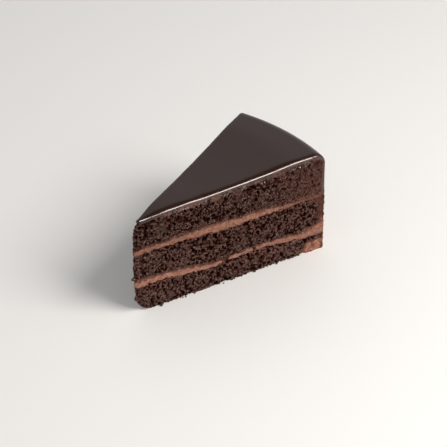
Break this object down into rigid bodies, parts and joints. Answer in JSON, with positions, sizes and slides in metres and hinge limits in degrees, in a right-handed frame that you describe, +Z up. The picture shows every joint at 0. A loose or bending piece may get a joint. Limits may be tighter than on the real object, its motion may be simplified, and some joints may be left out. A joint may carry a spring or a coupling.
{
  "type": "slice of chocolate cake",
  "caption": "Wedge-shaped slice of layered chocolate sponge cake with thin cream fillings, a smooth dark glaze over the top and rim, and a cream-coated outer side.",
  "frame": {"origin": "on the surface the slice stands on, under the middle of its box", "axes": "+Z up, +Y from the tip to the outer rim along the middle of the slice, +X towards the cut face that the camera sees"},
  "size_m": [0.06, 0.1152, 0.0619],
  "materials": {
    "sponge": "dark chocolate sponge, open moist crumb, dull",
    "filling_cream": "light chocolate buttercream, dull satin, smeared by the knife",
    "side_cream": "the same cream spread on the outer side, dull satin",
    "glaze": "set chocolate glaze, very dark brown, smooth and glossy"
  },
  "bodies": {
    "root": {"sponge_bottom": "sponge", "filling_lower": "filling_cream", "sponge_middle": "sponge", "filling_upper": "filling_cream", "sponge_top": "sponge", "glaze": "glaze", "side_cream": "side_cream"}
  },
  "joints": []
}
